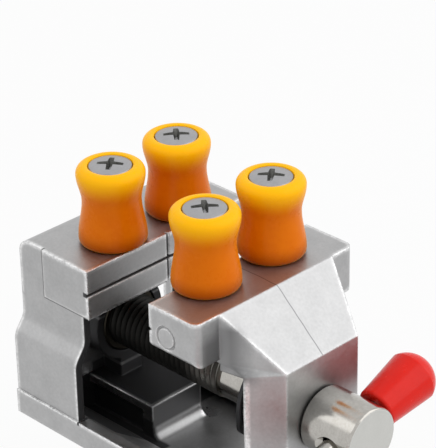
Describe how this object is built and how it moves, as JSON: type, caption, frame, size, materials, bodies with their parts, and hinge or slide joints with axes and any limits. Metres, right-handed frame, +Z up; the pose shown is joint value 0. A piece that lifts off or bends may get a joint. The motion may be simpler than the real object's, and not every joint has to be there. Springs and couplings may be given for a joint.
{
  "type": "suction base vise",
  "caption": "Small cast vise on a lever-worked suction foot, with a hollow fixed jaw, a screw-driven sliding jaw, a tommy bar with moulded grips and waisted pegs on the jaw tops.",
  "frame": {"origin": "centre of the suction pad's sealing ring, on the surface that the vise stands on", "axes": "+X to the right along the jaws, +Y from the tommy bar towards the fixed jaw, +Z up"},
  "size_m": [0.1025, 0.1218, 0.1314],
  "materials": {
    "casting": "die cast, satin",
    "machined_steel": "turned and polished",
    "plated_steel": "bright zinc",
    "black_steel": "blackened spring steel",
    "nut_brass": "turned",
    "peg_plastic": "moulded, glossy",
    "grip_plastic": "moulded, glossy",
    "foot_casting": "die cast, satin",
    "pad_rubber": "moulded, matt"
  },
  "bodies": {
    "base": {"vise_body": "casting", "screw_nut": "nut_brass", "fixed_peg_left": "peg_plastic", "fixed_peg_right": "peg_plastic", "fixed_peg_screws": "plated_steel", "base_housing": "foot_casting", "base_screws": "plated_steel", "suction_pad": "pad_rubber", "shaft_bush_left": "nut_brass", "shaft_bush_right": "nut_brass"},
    "jaw": {"movable_jaw": "casting", "moving_peg_left": "peg_plastic", "moving_peg_right": "peg_plastic", "moving_peg_screws": "plated_steel"},
    "screw": {"lead_screw": "machined_steel", "retaining_clip": "black_steel"},
    "bar": {"tommy_bar": "machined_steel", "bar_grip_left": "grip_plastic", "bar_grip_right": "grip_plastic"},
    "lever": {"cam_shaft": "machined_steel", "cam_lobe": "machined_steel", "cam_pin": "machined_steel", "shaft_clip": "black_steel", "lever_arm": "plated_steel", "lever_grip": "grip_plastic", "lever_bolt": "plated_steel"},
    "lifter": {"pull_yoke": "casting", "yoke_screws": "plated_steel", "pad_plate": "plated_steel"}
  },
  "joints": [
    {"name": "jaw_slide", "type": "slide", "parent": "base", "child": "jaw", "axis": [0, 1, 0], "range_m": [-0.018, 0.0165]},
    {"name": "screw_turn", "type": "hinge", "parent": "jaw", "child": "screw", "pos_m": [0, -0.05, 0.0745], "axis": [0, 1, 0], "range_deg": [-3245, 2975]},
    {"name": "bar_slide", "type": "slide", "parent": "screw", "child": "bar", "axis": [0.9703, 0, 0.2419], "range_m": [0, 0.023]},
    {"name": "lever_turn", "type": "hinge", "parent": "base", "child": "lever", "pos_m": [0, 0, 0.021], "axis": [1, 0, 0], "range_deg": [0, 90]},
    {"name": "pad_lift", "type": "slide", "parent": "base", "child": "lifter", "axis": [0, 0, 1], "range_m": [-0.00312, 0], "deforming": ["suction_pad"]}
  ],
  "couplings": [
    {"joint": "screw_turn", "follows": "jaw_slide", "rad_per_m": 3141.6},
    {"joint": "pad_lift", "follows": "lever_turn", "m_per_rad": -0.0019807}
  ]
}
